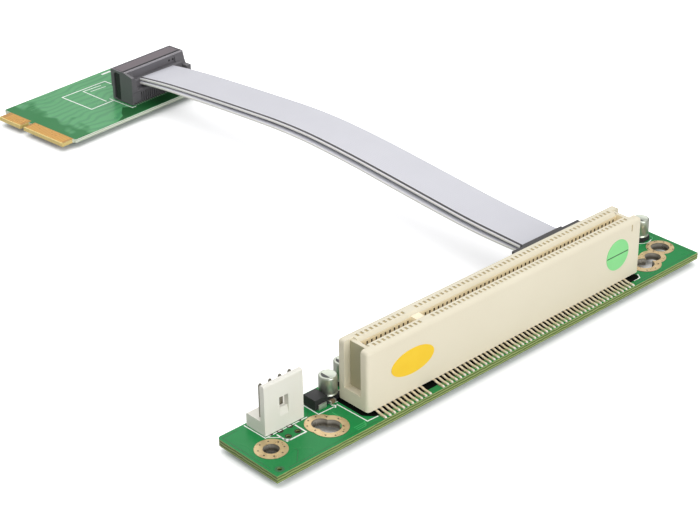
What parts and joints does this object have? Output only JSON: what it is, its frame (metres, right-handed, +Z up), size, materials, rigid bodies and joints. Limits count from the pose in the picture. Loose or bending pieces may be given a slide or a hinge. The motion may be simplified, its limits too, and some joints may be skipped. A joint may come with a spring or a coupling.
{
  "type": "riser card",
  "caption": "Riser board with a long card slot, screw holes and small parts, joined by a flat ribbon cable to a small plug-in card with an edge tongue.",
  "frame": {"origin": "middle of the whole part's outline, on the plane that its lowest pieces touch", "axes": "+X to the right along the riser board, +Y away from it along the ribbon cable, +Z up from the boards"},
  "size_m": [0.1296, 0.1882, 0.0174],
  "materials": {
    "riser_mask": "gloss",
    "card_mask": "gloss",
    "gold_plating": "satin",
    "solder_tin": "satin",
    "slot_ivory": "matte",
    "sticker_yellow": "matte",
    "sticker_green": "matte",
    "header_white": "satin",
    "part_black": "matte",
    "can_metal": "satin",
    "chip_tan": "matte",
    "connector_grey": "satin",
    "strip_mauve": "satin",
    "cable_grey": "satin"
  },
  "bodies": {
    "root": {"riser_board": "riser_mask", "plated_rings": "gold_plating", "slot_housing": "slot_ivory", "slot_contacts_front": "gold_plating", "slot_contacts_rear": "gold_plating", "slot_leads_front": "solder_tin", "slot_leads_rear": "solder_tin", "yellow_sticker": "sticker_yellow", "green_sticker": "sticker_green", "power_header_housing": "header_white", "power_header_pins": "solder_tin", "diode_body": "part_black", "diode_leads": "solder_tin", "capacitor_bases": "part_black", "capacitor_cans": "can_metal", "capacitor_leads": "solder_tin", "riser_chip_bodies": "chip_tan", "riser_chip_ends": "solder_tin", "riser_cable_body": "connector_grey", "riser_cable_tails": "solder_tin", "riser_cable_clamp": "connector_grey", "card_board": "card_mask", "card_screw_rings": "solder_tin", "edge_fingers_top": "gold_plating", "edge_fingers_bottom": "gold_plating", "card_socket_body": "connector_grey", "card_socket_leads": "solder_tin", "card_plug_body": "connector_grey", "card_cover_strip": "strip_mauve", "card_cable_clamp": "strip_mauve", "ribbon_upper": "cable_grey", "ribbon_lower": "cable_grey", "bridge_chip_body": "part_black", "bridge_chip_leads": "solder_tin", "clock_crystal": "can_metal", "card_chip_bodies": "chip_tan", "card_chip_ends": "solder_tin"}
  },
  "joints": []
}
